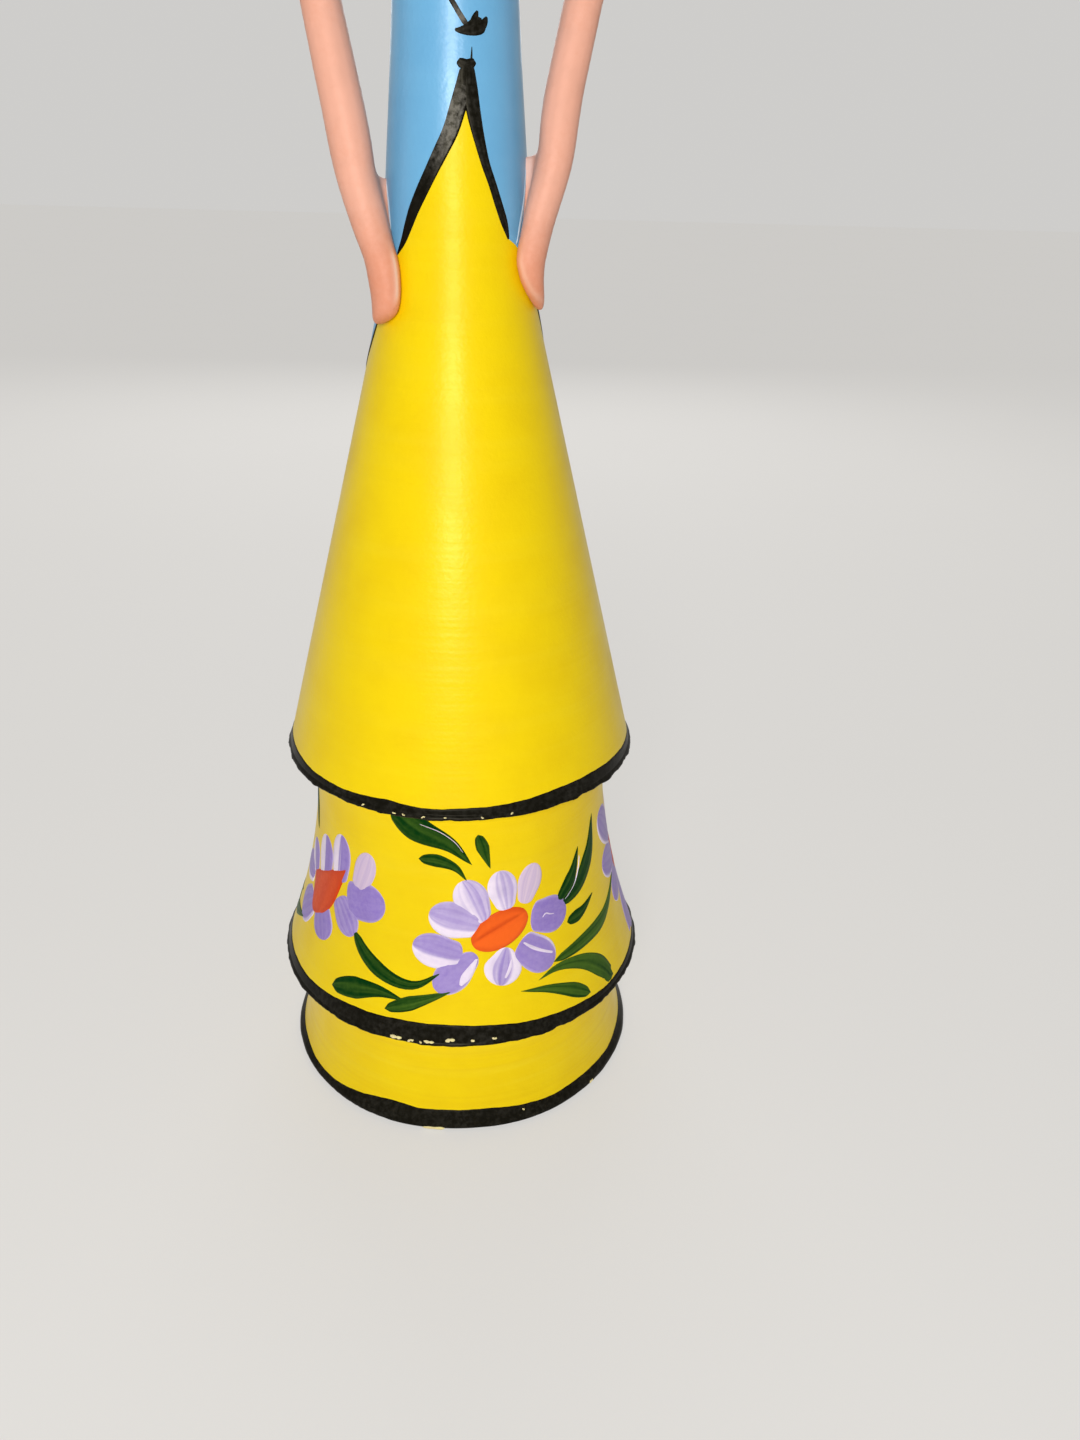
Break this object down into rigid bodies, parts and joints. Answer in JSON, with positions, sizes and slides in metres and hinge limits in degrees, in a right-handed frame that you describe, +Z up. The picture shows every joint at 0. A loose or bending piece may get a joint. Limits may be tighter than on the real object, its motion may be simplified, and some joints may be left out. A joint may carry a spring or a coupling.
{
  "type": "wooden folk art doll",
  "caption": "Turned and hand-painted wooden doll with a tiered conical skirt, slender bodice, stick arms glued to the hips and a head that turns on its neck dowel.",
  "frame": {"origin": "centre of the flat underside of the base, on the turning axis", "axes": "+Z up along the turning axis, the doll faces -Y and its left arm is on the +X side"},
  "size_m": [0.0622, 0.0622, 0.2544],
  "materials": {
    "skirt_paint": "satin paint",
    "skin_paint": "satin paint",
    "sleeve_paint": "satin paint",
    "hair_paint": "satin paint",
    "bare_wood": "sanded"
  },
  "bodies": {
    "figure": {"body": "skirt_paint", "neck_dowel": "bare_wood", "shoulder_dowel": "bare_wood", "left_sleeve": "sleeve_paint", "right_sleeve": "sleeve_paint", "left_arm": "skin_paint", "right_arm": "skin_paint"},
    "head": {"head": "skin_paint", "nose": "skin_paint", "hair_bun": "hair_paint", "bun_dowel": "bare_wood"}
  },
  "joints": [
    {"name": "head_turn", "type": "hinge", "parent": "figure", "child": "head", "pos_m": [0, 0, 0.2167], "axis": [0, 0, 1], "continuous": true}
  ]
}
